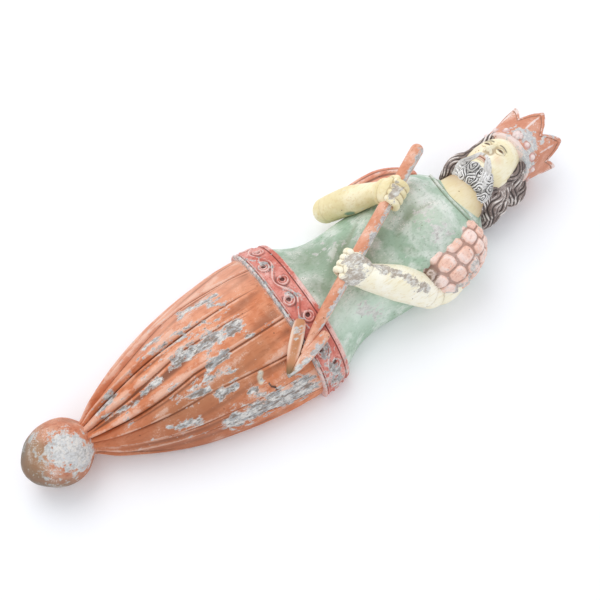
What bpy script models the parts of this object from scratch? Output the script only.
"""Ship figurehead: a crowned, bearded king carved from one log, lying on its flat back.

Metres, +Z up. The crown points to +Y and the figure's left arm is on +X. The origin is on the flat back,
on the centre line under the middle of the belt. Two pieces: the carved figure, and the spear that passes
through both fists.
"""

import math

import bmesh
import bpy
import numpy as np
from mathutils import Matrix, Vector

# ---------------------------------------------------------------- driving dimensions
FIT_GAP = 0.0004  # clearance between the spear and the wood around it
FLOOR_CUT, FLOOR_REACH = 0.08, (1.0, 2.0)  # depth, width and length of the box that planes the back flat

# the log: y, half width, height of the front above the back, height of the underside
LOG = (
    (-0.405, 0.022, 0.069, 0.026),
    (-0.385, 0.027, 0.076, 0.017),
    (-0.355, 0.047, 0.089, 0.004),
    (-0.300, 0.077, 0.103, -0.012),
    (-0.240, 0.102, 0.114, -0.020),
    (-0.180, 0.119, 0.121, -0.020),
    (-0.120, 0.131, 0.123, -0.020),
    (-0.060, 0.138, 0.120, -0.020),
    (-0.026, 0.139, 0.117, -0.020),
    (0.026, 0.128, 0.114, -0.020),
    (0.060, 0.109, 0.109, -0.020),
    (0.110, 0.098, 0.114, -0.020),
    (0.160, 0.097, 0.124, -0.020),
    (0.210, 0.102, 0.136, -0.020),
    (0.260, 0.108, 0.144, -0.020),
    (0.300, 0.107, 0.140, -0.020),
    (0.335, 0.092, 0.124, -0.018),
    (0.362, 0.066, 0.102, -0.012),
    (0.385, 0.030, 0.075, 0.004),
)
LOG_WIDEST_AT = 0.30  # share of the height at which a section is widest
LOG_SQUARENESS = 2.25  # exponent of the superelliptic section
LOG_RING, LOG_RINGS = 176, 150

BALL_CENTRE = (0.0, -0.436, 0.0515)
BALL_RADII = (0.0530, 0.0590, 0.0530)

FOLDS = (-20, 8, 33, 58, 80, 94, 106, 132, 156, 184)  # degrees round the skirt at which a fold's edge runs
FOLD_DEPTH_NECK, FOLD_DEPTH_BELT = 0.0105, 0.0030
SKIRT_START, SKIRT_END = -0.395, -0.022

BELT_FROM, BELT_TO = -0.029, 0.027
BELT_PROUD = 0.0075  # how far the belt stands off the cloth
BELT_RIM, BELT_RIM_PROUD = 0.0085, 0.0022  # width and height of the border along each edge
VINE_PERIOD, VINE_START = 0.076, 0.005  # length of one wave, and where a hole sits from the centre line
VINE_SWING, VINE_WIDTH, VINE_PROUD = 0.0092, 0.0026, 0.0028
HOLE_RADIUS, HOLE_DEPTH, HOLE_OFF = 0.0040, 0.0060, 0.0065  # drilled eyes, and how far off the middle they sit

# soft forms of the tunic: height, y, its spread along y, share of the half width, and its spread
CHEST = (0.007, 0.268, 0.036, 0.42, 0.34)
RIBS = (-0.006, 0.205, 0.020, 0.0, 0.80)
DRAPE_HEIGHT, DRAPE_COUNT, DRAPE_SLANT = 0.0016, 13.0, 45.0
COLLAR_CENTRE, COLLAR_RADII, COLLAR_ROLL = (-0.002, 0.352), (0.066, 0.032), 0.0052
NECK = ((0.0, 0.318, 0.070), (-0.006, 0.365, 0.078), (-0.012, 0.414, 0.090))
NECK_RADII = (0.056, 0.046, 0.034)

# arms: elbow, wrist, and where the fist holds the spear as a share of its length from the top
LEFT_ELBOW, LEFT_WRIST = (0.105, 0.219, 0.052), (0.042, 0.108, 0.138)
LEFT_GRIP, LEFT_GIRTH = 0.525, 0.0290
RIGHT_ELBOW, RIGHT_WRIST = (-0.127, 0.154, 0.062), (-0.062, 0.226, 0.148)
RIGHT_GRIP, RIGHT_GIRTH = 0.200, 0.0240
LEFT_UPPER = (((0.086, 0.290, 0.060), (0.104, 0.245, 0.050), LEFT_ELBOW), (0.034, 0.030, 0.024))
RIGHT_UPPER = (((-0.096, 0.285, 0.070), (-0.116, 0.215, 0.060), RIGHT_ELBOW), (0.030, 0.026, 0.022))
ELBOW_BLOCK = ((-0.098, 0.170, 0.036), (0.026, 0.062, 0.050))  # wood left standing under the right elbow
# sleeves: side, centre, radii and turn about Z in degrees
LEFT_SLEEVE = (1, (0.080, 0.280, 0.060), (0.044, 0.066, 0.048), -18)
RIGHT_SLEEVE = (-1, (-0.100, 0.256, 0.066), (0.030, 0.064, 0.034), 16)
QUILT_ROWS, QUILT_COLUMNS, QUILT_RADII = 6, 8, (0.0135, 0.0135, 0.0090)

SPEAR_TOP = (-0.075, 0.301, 0.191)
SPEAR_TIP = (0.112, -0.078, 0.105)
SPEAR_RADIUS = 0.0112
BARB_THICKNESS = 0.011
BARBS = ((0.100, 0.030), (0.098, 0.040))  # length and spread of the left and the right barb

HEAD_SIZE = 0.86  # share of the measures below
HEAD_PIVOT = (-0.019, 0.436, 0.0885)
HEAD_TILT_BACK, CROWN_TILT_BACK = 1.5, 16.5  # degrees; the crown is set further back than the face
HEAD_TURN_RIGHT, HEAD_LEAN = 12.0, 11.0  # degrees, the lean towards its right
# forms of the head: place and radii in its own axes, x to the left, y through the crown, z out of the face
HEAD_FORMS = {
    "skull": ((0.0, 0.0, 0.0), (0.044, 0.066, 0.054)),
    "jaw": ((0.0, -0.024, 0.016), (0.034, 0.043, 0.036)),
    "lips": ((0.0, -0.0275, 0.0530), (0.011, 0.0050, 0.0060)),
    "beard": ((0.0, -0.055, 0.022), (0.040, 0.028, 0.034)),
    "back_hair": ((0.0, -0.004, -0.014), (0.0475, 0.060, 0.044)),
}
PAIRED_FORMS = {
    "brow": ((0.018, 0.022, 0.0465), (0.015, 0.0055, 0.0070)),
    "eye": ((0.018, 0.009, 0.0445), (0.0095, 0.0065, 0.0065)),
    "cheek": ((0.022, -0.010, 0.0400), (0.014, 0.012, 0.012)),
}
NOSE = ((0.0, 0.016, 0.050), (0.0, 0.002, 0.060), (0.0, -0.008, 0.065))
NOSE_RADII = (0.0055, 0.0065, 0.0080)
MOUSTACHE = ((0.0, -0.016, 0.059), (0.015, -0.022, 0.056), (0.027, -0.034, 0.044))
MOUSTACHE_RADII = (0.0055, 0.0065, 0.0045)
BEARD_ROWS, BEARD_COLUMNS = 4, 7

# each lock: the points of its way from under the crown in the figure's frame, and its girth
LOCKS = (
    (((0.004, 0.494, 0.100), (0.014, 0.466, 0.101), (0.017, 0.436, 0.097), (0.016, 0.418, 0.094)), 0.0062),
    (((0.012, 0.492, 0.090), (0.017, 0.468, 0.080), (0.029, 0.452, 0.052), (0.034, 0.440, 0.036)), 0.0092),
    (((0.004, 0.488, 0.070), (0.022, 0.480, 0.056), (0.032, 0.468, 0.042), (0.034, 0.450, 0.028)), 0.0086),
    (((0.014, 0.462, 0.094), (0.026, 0.434, 0.076), (0.040, 0.424, 0.048), (0.040, 0.416, 0.030)), 0.0072),
    (((0.006, 0.436, 0.094), (0.012, 0.402, 0.096), (0.024, 0.377, 0.080), (0.034, 0.371, 0.056)), 0.0110),
    (((0.022, 0.430, 0.086), (0.030, 0.410, 0.082), (0.038, 0.396, 0.068), (0.042, 0.386, 0.044)), 0.0092),
    (((0.020, 0.450, 0.050), (0.030, 0.420, 0.040), (0.034, 0.392, 0.032), (0.030, 0.372, 0.030)), 0.0110),
    (((-0.066, 0.496, 0.102), (-0.064, 0.462, 0.100), (-0.063, 0.426, 0.092), (-0.067, 0.404, 0.088)), 0.0056),
    (((-0.058, 0.444, 0.088), (-0.065, 0.410, 0.088), (-0.062, 0.380, 0.083), (-0.057, 0.356, 0.074)), 0.0076),
    (((-0.066, 0.480, 0.070), (-0.070, 0.440, 0.062), (-0.066, 0.400, 0.058), (-0.056, 0.366, 0.056)), 0.0092),
    (((-0.050, 0.460, 0.044), (-0.053, 0.434, 0.039), (-0.051, 0.408, 0.035), (-0.046, 0.384, 0.034)), 0.0106),
    (((-0.020, 0.460, 0.030), (-0.022, 0.434, 0.026), (-0.021, 0.408, 0.024), (-0.018, 0.380, 0.024)), 0.0124),
    (((0.008, 0.460, 0.032), (0.011, 0.434, 0.028), (0.013, 0.408, 0.026), (0.014, 0.380, 0.026)), 0.0124),
)
LOCK_SWAY = 0.003  # how far its strands wave to each side

CROWN_BASE_RADIUS, CROWN_TOP_RADIUS = 0.060, 0.0735
CROWN_BAND, CROWN_LEAF, CROWN_WALL = 0.086, 0.038, 0.0090  # up to the notches, and the points above them
CROWN_LEAVES, CROWN_SIT = 7, 0.046  # leaves round the crown, and how far up the head its band starts
CROWN_PHASE = 10.0  # degrees by which the front leaf is turned to the left
CROWN_FILL = ((0.0, 0.046, 0.0), (0.056, 0.024, 0.056))  # the wood between the hair and the crown
CROWN_SINK, BOSS_RADIUS = 0.016, 0.0060  # how far the solid top lies below the notches

FIGURE_TRIANGLES, CLAY = 9300, 0.0021  # faces left after thinning, and the voxel that fuses the forms

PLAIN = "plain_wood"  # vertex group that is thinned first
KEEP_CARVING, CARVING_WEIGHT = 0.000005, 0.02  # how hard the carving resists thinning
HEAD_REACH, FIST_REACH = 0.085, 0.040  # round the head and each fist

WOOD_COLOUR, SPEAR_COLOUR = (0.68, 0.31, 0.17, 1.0), (0.70, 0.33, 0.20, 1.0)
SCRATCH = []  # forms that are fused into the figure


# ---------------------------------------------------------------- small helpers
def clear_scene():
    for thing in list(bpy.data.objects):
        bpy.data.objects.remove(thing, do_unlink=True)


def collection(name):
    made = bpy.data.collections.new(name)
    bpy.context.scene.collection.children.link(made)
    return made


def add_mesh(name, points, faces):
    mesh = bpy.data.meshes.new(name)
    mesh.from_pydata([tuple(map(float, p)) for p in points], [], faces)
    made = bpy.data.objects.new(name, mesh)
    bpy.context.scene.collection.objects.link(made)
    return made


def through(x, rows, column):
    """A smooth curve through column `column` of rows at x; the first column is x."""
    table = np.array(rows, float)
    at, value = table[:, 0], table[:, column]
    slope = np.gradient(value, at)
    x = np.clip(x, at[0], at[-1])
    i = np.clip(np.searchsorted(at, x) - 1, 0, len(at) - 2)
    step = at[i + 1] - at[i]
    t = (x - at[i]) / step
    a, b = (1 + 2 * t) * (1 - t) ** 2, t * (1 - t) ** 2
    c, d = t * t * (3 - 2 * t), t * t * (t - 1)
    return a * value[i] + b * step * slope[i] + c * value[i + 1] + d * step * slope[i + 1]


def smoothstep(low, high, x):
    t = np.clip((x - low) / (high - low), 0, 1)
    return t * t * (3 - 2 * t)


def loft(name, rings):
    """A closed skin over rings of equal length, each an array of points, capped at both ends."""
    count = len(rings[0])
    points = np.concatenate(rings)
    faces = []
    for r in range(len(rings) - 1):
        for i in range(count):
            j = (i + 1) % count
            a, b = r * count, (r + 1) * count
            faces.append((a + i, a + j, b + j, b + i))
    faces.append(tuple(range(count))[::-1])
    faces.append(tuple(range(len(points) - count, len(points))))
    return add_mesh(name, points, faces)


def lump(centre, radii, turn=None, name="lump"):
    """An ellipsoid from a UV sphere."""
    mesh = bpy.data.meshes.new(name)
    form = bmesh.new()
    bmesh.ops.create_uvsphere(form, u_segments=24, v_segments=14, radius=1.0)
    matrix = Matrix.Translation(centre) @ (turn or Matrix()).to_4x4() @ Matrix.Diagonal((*radii, 1.0))
    bmesh.ops.transform(form, matrix=matrix, verts=form.verts)
    form.to_mesh(mesh)
    form.free()
    made = bpy.data.objects.new(name, mesh)
    bpy.context.scene.collection.objects.link(made)
    SCRATCH.append(made)
    return made


def curve_points(path, count):
    """Points along a Catmull-Rom curve through path."""
    p = [Vector(q) for q in path]
    p = [2 * p[0] - p[1]] + p + [2 * p[-1] - p[-2]]
    made = []
    spans = len(p) - 3
    for k in range(count):
        u = min(k / (count - 1) * spans, spans - 1e-9)
        i, t = int(u), u - int(u)
        a, b, c, d = p[i : i + 4]
        bend, twist = 2 * a - 5 * b + 4 * c - d, 3 * b - a - 3 * c + d
        made.append(0.5 * (2 * b + (c - a) * t + bend * t**2 + twist * t**3))
    return made


def limb(path, radii, count=14, sides=3, name="limb", keep=False):
    """A round tube of changing thickness: a curve with a bevel, made a mesh."""
    data = bpy.data.curves.new(name, "CURVE")
    data.dimensions, data.bevel_depth, data.bevel_resolution, data.use_fill_caps = "3D", 1.0, sides, True
    spline = data.splines.new("POLY")
    points = curve_points(path, count)
    spline.points.add(len(points) - 1)
    at = np.linspace(0, len(radii) - 1, len(points))
    for k, point in enumerate(points):
        spline.points[k].co = (*point, 1.0)
        spline.points[k].radius = float(np.interp(at[k], range(len(radii)), radii))
    return solid_curve(data, name, keep)


def solid_curve(data, name, keep=False):
    guide = bpy.data.objects.new(name, data)
    bpy.context.scene.collection.objects.link(guide)
    graph = bpy.context.evaluated_depsgraph_get()
    mesh = bpy.data.meshes.new_from_object(guide.evaluated_get(graph))
    form = bmesh.new()
    form.from_mesh(mesh)
    bmesh.ops.remove_doubles(form, verts=form.verts, dist=1e-5)
    form.to_mesh(mesh)
    form.free()
    made = bpy.data.objects.new(name, mesh)
    made.matrix_world = guide.matrix_world
    bpy.context.scene.collection.objects.link(made)
    bpy.data.objects.remove(guide)
    made.name = name
    if not keep:
        SCRATCH.append(made)
    return made


def join(objects, name):
    chosen = {"active_object": objects[0], "object": objects[0]}
    with bpy.context.temp_override(**chosen, selected_objects=objects, selected_editable_objects=objects):
        bpy.ops.object.join()
    objects[0].name = name
    return objects[0]


def apply_modifiers(thing):
    graph = bpy.context.evaluated_depsgraph_get()
    mesh = bpy.data.meshes.new_from_object(thing.evaluated_get(graph))
    thing.modifiers.clear()
    thing.data = mesh
    return thing


def material(name, colour, roughness):
    made = bpy.data.materials.new(name)
    made.use_nodes = True
    shader = made.node_tree.nodes["Principled BSDF"]
    shader.inputs["Base Color"].default_value = colour
    shader.inputs["Roughness"].default_value = roughness
    shader.inputs["Metallic"].default_value = 0.0
    made.diffuse_color = colour
    return made


# ---------------------------------------------------------------- the log: skirt, belt, tunic
def section(y, angle):
    """x and z of the plain log at station y, with angle 0 on the +X side and 90 degrees at the front."""
    half, top, under = (through(y, LOG, c) for c in (1, 2, 3))
    level = under + (top - under) * LOG_WIDEST_AT
    c, s = np.cos(angle), np.sin(angle)
    power = 2.0 / LOG_SQUARENESS
    x = half * np.sign(c) * np.abs(c) ** power
    z = level + np.where(s > 0, top - level, level - under) * np.sign(s) * np.abs(s) ** power
    return x, z


def pleats(y, angle):
    """Depth of the skirt's overlapping folds: each swells slowly and drops at its edge."""
    edges = np.radians(FOLDS)
    place = np.clip(np.searchsorted(edges, angle) - 1, 0, len(edges) - 2)
    share = np.clip((angle - edges[place]) / (edges[place + 1] - edges[place]), 0, 1)
    width = np.clip((edges[place + 1] - edges[place]) / math.radians(24), 0.5, 1.0)
    fold = smoothstep(0.0, 0.14, share) - 0.75 * smoothstep(0.10, 0.95, share) - 0.45
    start = smoothstep(SKIRT_START, SKIRT_START + 0.04, y)
    depth = FOLD_DEPTH_BELT + (FOLD_DEPTH_NECK - FOLD_DEPTH_BELT) * smoothstep(-0.13, -0.34, y)
    return np.where(y < SKIRT_END, depth * start * width * fold, 0.0)


def soft_form(form, y, across):
    height, at, along, share, wide = form
    return height * np.exp(-(((y - at) / along) ** 2)) * np.exp(-(((across - share) / wide) ** 2))


def tunic_folds(y, angle):
    """Soft hollows of the tunic: chest muscles, the hollow under the ribs, and shallow folds at the waist."""
    x = np.cos(angle)
    chest, ribs = soft_form(CHEST, y, np.abs(x)), soft_form(RIBS, y, x)
    waist = smoothstep(BELT_TO, BELT_TO + 0.045, y) * (1 - smoothstep(RIBS[1] - 0.055, RIBS[1], y))
    drape = DRAPE_HEIGHT * np.sin(DRAPE_COUNT * x + DRAPE_SLANT * y) * waist
    return np.where(y > BELT_TO, chest + ribs + drape, 0.0)


def round_belt(angle):
    """Distance round the belt from the centre line of the front, positive towards the left arm."""
    fine = np.linspace(-0.5 * math.pi, 1.5 * math.pi, 721)
    x, z = section(0.0, fine)
    length = np.concatenate([[0.0], np.cumsum(np.hypot(np.diff(x), np.diff(z)))])
    middle = np.interp(0.5 * math.pi, fine, length)
    return middle - np.interp((angle + 0.5 * math.pi) % (2 * math.pi) - 0.5 * math.pi, fine, length)


def vine(y, angle):
    """Height of the running scroll: a wavy stem with a curl round a drilled eye in each of its bends."""
    middle = (BELT_FROM + BELT_TO) / 2
    run = (round_belt(angle) - VINE_START) / VINE_PERIOD
    phase = 2 * math.pi * run
    stem = np.abs(y - middle - VINE_SWING * np.cos(phase)) / (1 + 0.9 * np.abs(np.sin(phase)))
    along = (run - np.round(2 * run) / 2) * VINE_PERIOD
    side = np.where(np.round(2 * run) % 2 == 0, -1.0, 1.0)
    off = np.hypot(along, y - middle - side * HOLE_OFF)
    curl = np.where(along > -0.6 * HOLE_OFF, np.abs(off - 2.2 * HOLE_RADIUS), 1.0)
    ridge = np.exp(-((np.minimum(stem, curl) / VINE_WIDTH) ** 2))
    return VINE_PROUD * ridge - HOLE_DEPTH * (off < HOLE_RADIUS)


def belt(y, angle):
    """The belt stands off the cloth, with a border along each edge and the vine between them."""
    inside = (y >= BELT_FROM) & (y <= BELT_TO)
    edge = np.minimum(y - BELT_FROM, BELT_TO - y)
    rim = BELT_RIM_PROUD * (1 - smoothstep(BELT_RIM * 0.7, BELT_RIM, edge))
    return np.where(inside, BELT_PROUD + rim + vine(y, angle), 0.0)


def log_stations():
    """Ring positions, closer together across the belt."""
    plain = np.linspace(LOG[0][0], LOG[-1][0], LOG_RINGS)
    plain = plain[(plain < BELT_FROM - 0.004) | (plain > BELT_TO + 0.004)]
    step = 0.0006
    close = np.linspace(BELT_FROM, BELT_TO, 30)
    edges = [BELT_FROM - step, BELT_TO + step]
    return np.sort(np.concatenate([plain, close, edges]))


def carve_log():
    angle = np.linspace(0, 2 * math.pi, LOG_RING, endpoint=False)
    rings = []
    for y in log_stations():
        x, z = section(y, angle)
        ahead, behind = section(y, angle + 1e-3), section(y, angle - 1e-3)
        tangent = np.stack([ahead[0] - behind[0], ahead[1] - behind[1]])
        tangent /= np.linalg.norm(tangent, axis=0)
        front = np.sin(angle) > -0.35
        height = np.where(front, pleats(y, angle) + tunic_folds(y, angle) + belt(y, angle), 0.0)
        rings.append(np.stack([x + tangent[1] * height, np.full_like(x, y), z - tangent[0] * height], axis=1))
    made = loft("log", rings)
    SCRATCH.append(made)


def carve_collar():
    """A rolled edge round the neck opening, laid on the chest."""
    path = []
    for k in range(25):
        turn = math.radians(180 + 15 * k)
        x = COLLAR_CENTRE[0] + COLLAR_RADII[0] * math.cos(turn)
        y = COLLAR_CENTRE[1] + COLLAR_RADII[1] * math.sin(turn)
        path.append((x, y, surface_height(x, y) - 0.001))
    limb(path, [COLLAR_ROLL] * 2, count=60, name="collar")


def surface_height(x, y):
    """Height of the front of the plain log above the point x, y."""
    half, top, under = (through(y, LOG, c) for c in (1, 2, 3))
    level = under + (top - under) * LOG_WIDEST_AT
    share = min(abs(x) / half, 0.98)
    return float(level + (top - level) * (1 - share**LOG_SQUARENESS) ** (1 / LOG_SQUARENESS))


# ---------------------------------------------------------------- arms and sleeves
def along_spear(share):
    return Vector(SPEAR_TOP).lerp(Vector(SPEAR_TIP), share)


def spear_axis():
    return (Vector(SPEAR_TIP) - Vector(SPEAR_TOP)).normalized()


def forearm(elbow, wrist, grip, girth):
    fist = along_spear(grip)
    elbow, wrist = Vector(elbow), Vector(wrist)
    middle = elbow.lerp(wrist, 0.5) + Vector((0, 0, 0.006))
    path = [elbow + (elbow - middle) * 0.10, elbow, middle, wrist, wrist.lerp(fist, 0.75)]
    limb(path, [girth * 0.72, girth, girth * 1.08, girth * 0.74, girth * 0.86], count=18, name="forearm")


def fist(grip, side, wrist):
    """A palm, a back of the hand, four fingers wrapped round the rod and a thumb."""
    centre, axis = along_spear(grip), spear_axis()
    back = (Vector(wrist) - centre).normalized()
    back = (back - axis * back.dot(axis)).normalized()
    up = axis.cross(back).normalized()
    if up.z < 0:
        up = -up
    turn = Matrix((axis, back, up)).transposed()
    lump(centre + back * 0.009 + up * 0.004, (0.0255, 0.020, 0.0185), turn, "palm")
    for k in range(4):
        start = centre + axis * (0.0195 - 0.0130 * k)
        path = []
        for step in range(7):
            swing = math.radians(62 + 28 * step)
            path.append(start + back * (0.0190 * math.cos(swing)) + up * (0.0170 * math.sin(swing)))
        limb(path, [0.0068, 0.0076, 0.0070, 0.0055], count=12, sides=2, name="finger")
    thumb = [
        centre + back * 0.018 - up * 0.004 + axis * (side * 0.020),
        centre + up * 0.012 + axis * (side * 0.027),
        centre + up * 0.013 - back * 0.012 + axis * (side * 0.025),
    ]
    limb(thumb, [0.0085, 0.0085, 0.0065], count=8, sides=2, name="thumb")


def sleeve(side, centre, radii, bottom_turn):
    """A puffed sleeve: a full ellipsoid under staggered rows of round quilted lumps."""
    turn = Matrix.Rotation(math.radians(bottom_turn), 4, "Z")
    lump(centre, radii, turn, "sleeve")
    for r in range(QUILT_ROWS):
        along = math.radians(-62 + 124 * r / (QUILT_ROWS - 1))
        for c in range(QUILT_COLUMNS):
            round_arm = math.radians(-35 + 250 * (c + 0.5 * (r % 2)) / QUILT_COLUMNS)
            out = Vector((math.cos(along) * math.cos(round_arm) * side, math.sin(along),
                          math.cos(along) * math.sin(round_arm)))
            place = Vector(a * b for a, b in zip(out, radii)) * 0.93
            at = Vector(centre) + turn.to_3x3() @ place
            if at.z > 0.006:
                facing = (turn.to_3x3() @ out).to_track_quat("Z", "Y").to_matrix()
                lump(at, QUILT_RADII, facing, "quilting")


def carve_arms():
    forearm(LEFT_ELBOW, LEFT_WRIST, LEFT_GRIP, LEFT_GIRTH)
    forearm(RIGHT_ELBOW, RIGHT_WRIST, RIGHT_GRIP, RIGHT_GIRTH)
    for path, radii in (LEFT_UPPER, RIGHT_UPPER):
        limb(path, radii, name="upper_arm")
    fist(LEFT_GRIP, 1, LEFT_WRIST)
    fist(RIGHT_GRIP, -1, RIGHT_WRIST)
    sleeve(*LEFT_SLEEVE)
    sleeve(*RIGHT_SLEEVE)
    lump(*ELBOW_BLOCK, None, "elbow_block")


# ---------------------------------------------------------------- head, beard, hair and crown
def head_frame(tilt_back):
    """Head axes: x to the figure's left, y up through the crown, z out of the face."""
    tilt = Matrix.Rotation(math.radians(-tilt_back), 4, "X")
    turn = Matrix.Rotation(math.radians(-HEAD_TURN_RIGHT), 4, "Y")
    lean = Matrix.Rotation(math.radians(HEAD_LEAN), 4, "Z")
    return Matrix.Translation(HEAD_PIVOT) @ lean @ tilt @ turn @ Matrix.Scale(HEAD_SIZE, 4)


def on_head(x, y, z):
    return head_frame(HEAD_TILT_BACK) @ Vector((x, y, z))


def on_crown(x, y, z):
    return head_frame(CROWN_TILT_BACK) @ Vector((x, y, z))


def carve_face():
    rotation = head_frame(HEAD_TILT_BACK).to_3x3()
    for name, (place, radii) in HEAD_FORMS.items():
        lump(on_head(*place), radii, rotation, name)
    limb([on_head(*p) for p in NOSE], NOSE_RADII, count=6, name="nose")
    for side in (-1, 1):
        for name, ((x, y, z), radii) in PAIRED_FORMS.items():
            lump(on_head(side * x, y, z), radii, rotation, name)
        limb([on_head(side * x, y, z) for x, y, z in MOUSTACHE], MOUSTACHE_RADII, count=8, name="moustache")
    limb(NECK, NECK_RADII, count=12, sides=6, name="neck")


def carve_beard():
    """Rows of hooked curls over the short full beard, from ear to ear."""
    (_, beard_y, beard_z), radii = HEAD_FORMS["beard"]
    for row in range(BEARD_ROWS):
        for column in range(BEARD_COLUMNS):
            swing = math.radians(-78 + 26 * (column + 0.5 * (row % 2)))
            drop = math.radians(4 + 27 * row)
            x = math.sin(swing) * math.cos(drop) * radii[0] * 1.08
            y = beard_y - math.sin(drop) * radii[1] * 1.08
            z = beard_z + math.cos(swing) * math.cos(drop) * radii[2] * 1.03
            curl = []
            for step in range(5):
                bend = math.radians(60 * step)
                curl.append(on_head(x + 0.0048 * math.cos(bend), y + 0.0062 * math.sin(bend), z))
            limb(curl, [0.0042, 0.0036], count=8, sides=1, name="curl")


def lock(path, girth):
    """One heavy lock: three strands that start together, wave side by side and close in a tip."""
    points = [Vector(p) for p in path]
    run = (points[-1] - points[0]).normalized()
    across = run.cross(Vector((0, 0, 1))).normalized()
    for k in (-1, 0, 1):
        strand = []
        rise = Vector((0, 0, girth * 0.35 * (1 - abs(k))))
        for i, point in enumerate(points):
            share = i / (len(points) - 1)
            part = math.sin(math.pi * min(share * 1.1, 1.0)) * 0.9 + 0.25
            sway = LOCK_SWAY * math.sin(2 * math.pi * share + k)
            strand.append(point + across * (k * girth * 0.75 * part + sway) + rise)
        radii = [girth * share for share in (0.55, 0.72, 0.66, 0.28)]
        limb(strand, radii, count=14, sides=2, name="strand")


def carve_hair():
    """Wavy locks from under the crown to the shoulders, heavier on the left where they roll into curls."""
    for path, girth in LOCKS:
        lock(path, girth)


def leaf_height(turn):
    """Height of the crown's edge above its notches, with turn counted in leaves."""
    off = abs(turn % 1.0 - 0.5) * 2
    return CROWN_LEAF * (1 - off**1.5)


def carve_crown():
    """A flaring band with leaves, solid up to the notches, with a row of bosses round its foot."""
    slope = (CROWN_TOP_RADIUS - CROWN_BASE_RADIUS) / (CROWN_BAND + CROWN_LEAF)
    steps = CROWN_LEAVES * 18
    foot, rings = CROWN_SIT - 0.012, []
    for k in range(steps):
        angle = 2 * math.pi * k / steps + math.radians(90 - CROWN_PHASE - 180 / CROWN_LEAVES)
        height = CROWN_BAND + leaf_height(CROWN_LEAVES * k / steps)
        radius = CROWN_BASE_RADIUS + slope * height
        inner, thin = CROWN_BASE_RADIUS - CROWN_WALL, radius - CROWN_WALL * 0.8
        profile = ((CROWN_BASE_RADIUS, 0.0), (radius, height), (thin, height), (inner, 0.0))
        c, s = math.cos(angle), math.sin(angle)
        rings.append(np.array([on_crown(r * c, foot + h, r * s) for r, h in profile]))
    count, faces = 4, []
    for k in range(steps):
        a, b = k * count, ((k + 1) % steps) * count
        for i in range(count):
            j = (i + 1) % count
            faces.append((a + i, b + i, b + j, a + j))
    made = add_mesh("crown", np.concatenate(rings), faces)
    SCRATCH.append(made)
    for k in range(CROWN_LEAVES * 2):
        angle = math.radians(90 - CROWN_PHASE) + math.pi * k / CROWN_LEAVES
        x, z = CROWN_BASE_RADIUS * math.cos(angle), CROWN_BASE_RADIUS * math.sin(angle)
        lump(on_crown(x * 1.03, CROWN_SIT, z * 1.03), (BOSS_RADIUS,) * 3, None, "boss")
    place, fill = CROWN_FILL
    lump(on_crown(*place), fill, head_frame(CROWN_TILT_BACK).to_3x3(), "crown_fill")
    foot, top = on_crown(0, CROWN_SIT, 0), on_crown(0, CROWN_SIT - 0.012 + CROWN_BAND - CROWN_SINK, 0)
    radii = [HEAD_SIZE * CROWN_BASE_RADIUS, HEAD_SIZE * (CROWN_TOP_RADIUS - CROWN_WALL)]
    limb([foot, top], radii, count=2, sides=8, name="crown_block")


# ---------------------------------------------------------------- spear
def spear_rod(extra, name):
    ends = [along_spear(0.0), along_spear(0.5), along_spear(0.965)]
    return limb(ends, [SPEAR_RADIUS + extra] * 2, count=5, sides=4, name=name, keep=True)


def spear_head(extra, name):
    """A flat pointed blade with two back-swept barbs, lying on the skirt."""
    axis = spear_axis()
    side = axis.cross(Vector((0.30, 0, 1))).normalized()
    up = side.cross(axis)
    extra = extra * 2.2  # the slanting edges need more than the flat faces
    tip = along_spear(1.0) + axis * (0.004 + extra * 2)
    outline = ((0.0, 0.0), (0.28, 0.42), (0.62, 0.80), (1.0, 1.0), (0.84, 0.45), (0.74, 0.10))
    edges = []
    for way, (length, spread) in zip((-1, 1), BARBS):
        edges.append([tip - axis * (length + 4 * extra) * a + side * way * (spread * b + (extra if b else 0))
                      for a, b in outline])
    ring = edges[0] + edges[1][:0:-1]
    thick = BARB_THICKNESS / 2 + extra
    points = [p + up * thick for p in ring] + [p - up * thick for p in ring]
    n = len(ring)
    faces = [tuple(range(n)), tuple(range(2 * n - 1, n - 1, -1))]
    faces += [(i, i + n, (i + 1) % n + n, (i + 1) % n) for i in range(n)]
    made = add_mesh(name, points, faces)
    form = bmesh.new()
    form.from_mesh(made.data)
    bmesh.ops.recalc_face_normals(form, faces=form.faces)
    form.to_mesh(made.data)
    form.free()
    return made


def make_spear(extra, name):
    rod, head = spear_rod(extra, name), spear_head(extra, name + "_head")
    union = rod.modifiers.new("with_head", "BOOLEAN")
    union.operation, union.object = "UNION", head
    apply_modifiers(rod)
    bpy.data.objects.remove(head)
    return rod


# ---------------------------------------------------------------- assembly
def mark_plain_wood(figure):
    """Full weight on plain wood; the head, the fists and the front of the belt keep more of their faces."""
    group = figure.vertex_groups.new(name=PLAIN)
    spots = [(Vector(HEAD_PIVOT), HEAD_REACH), (on_crown(0, CROWN_SIT + CROWN_BAND, 0), HEAD_REACH)]
    spots += [(along_spear(grip), FIST_REACH) for grip in (LEFT_GRIP, RIGHT_GRIP)]
    for vertex in figure.data.vertices:
        near = any((vertex.co - spot).length < reach for spot, reach in spots)
        on_belt = BELT_FROM - CLAY < vertex.co.y < BELT_TO + CLAY and vertex.co.z > BALL_CENTRE[2]
        group.add([vertex.index], CARVING_WEIGHT if near or on_belt else 1.0, "REPLACE")


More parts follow.
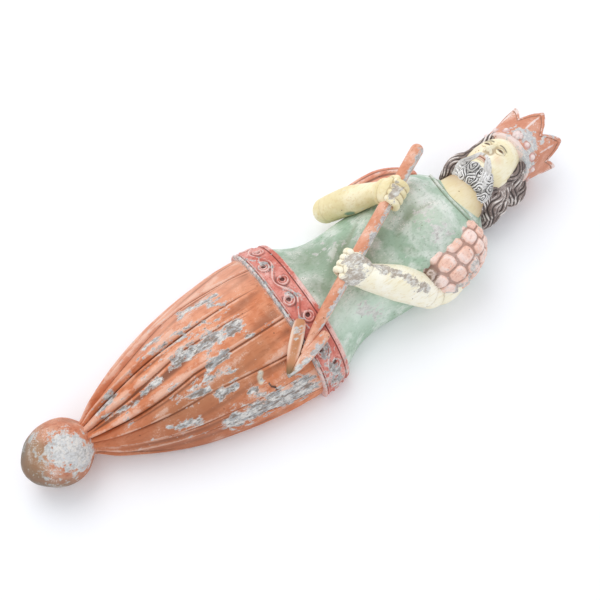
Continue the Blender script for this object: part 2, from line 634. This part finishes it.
def fuse(name):
    """One skin over all the carved forms: voxels melt them together, and the result is thinned."""
    figure = join(list(SCRATCH), name)
    remesh = figure.modifiers.new("fuse", "REMESH")
    remesh.mode, remesh.voxel_size, remesh.adaptivity = "VOXEL", CLAY, 0.0
    soften = figure.modifiers.new("soften", "SMOOTH")
    soften.factor, soften.iterations = 0.5, 1
    apply_modifiers(figure)
    figure.data.calc_loop_triangles()
    mark_plain_wood(figure)
    thin = figure.modifiers.new("thin", "DECIMATE")
    thin.ratio = FIGURE_TRIANGLES / len(figure.data.loop_triangles)
    thin.vertex_group, thin.vertex_group_factor = PLAIN, KEEP_CARVING
    apply_modifiers(figure)
    drop_chips(figure)
    return figure


def drop_chips(figure):
    """Deletes what the thinning has split off: everything but the largest connected skin."""
    form = bmesh.new()
    form.from_mesh(figure.data)
    left, skins = set(form.verts), []
    while left:
        skin, edge = set(), [left.pop()]
        while edge:
            vertex = edge.pop()
            skin.add(vertex)
            near = {e.other_vert(vertex) for e in vertex.link_edges} & left
            left -= near
            edge += near
        skins.append(skin)
    skins.sort(key=len)
    for chip in skins[:-1]:
        bmesh.ops.delete(form, geom=list(chip), context="VERTS")
    form.to_mesh(figure.data)
    form.free()


def cut(figure, cutter):
    made = figure.modifiers.new("less_" + cutter.name, "BOOLEAN")
    made.operation, made.object = "DIFFERENCE", cutter
    cutter.hide_render, cutter.display_type = True, "WIRE"


def floor_box():
    form = bmesh.new()
    bmesh.ops.create_cube(form, size=1.0)
    size = Matrix.Diagonal((*FLOOR_REACH, FLOOR_CUT, 1.0))
    place = Matrix.Translation((0.0, 0.0, -FLOOR_CUT / 2))
    bmesh.ops.transform(form, matrix=place @ size, verts=form.verts)
    mesh = bpy.data.meshes.new("plane_the_back")
    form.to_mesh(mesh)
    form.free()
    made = bpy.data.objects.new("plane_the_back", mesh)
    bpy.context.scene.collection.objects.link(made)
    return made


def to_collection(thing, home):
    for old in list(thing.users_collection):
        old.objects.unlink(thing)
    home.objects.link(thing)


def build():
    clear_scene()
    parts, cutters = collection("ship_figurehead"), collection("cutters")
    carve_log()
    lump(BALL_CENTRE, BALL_RADII, None, "ball")
    carve_collar()
    carve_arms()
    carve_face()
    carve_beard()
    carve_hair()
    carve_crown()
    figure = fuse("figure")
    spear = make_spear(0.0, "spear")
    room, box = make_spear(FIT_GAP, "spear_room"), floor_box()
    cut(figure, room)
    cut(figure, box)
    figure.data.materials.clear()
    figure.data.materials.append(material("painted_carved_wood", WOOD_COLOUR, 0.75))
    spear.data.materials.append(material("painted_turned_rod", SPEAR_COLOUR, 0.70))
    for thing in (figure, spear):
        to_collection(thing, parts)
    for thing in (room, box):
        to_collection(thing, cutters)


build()
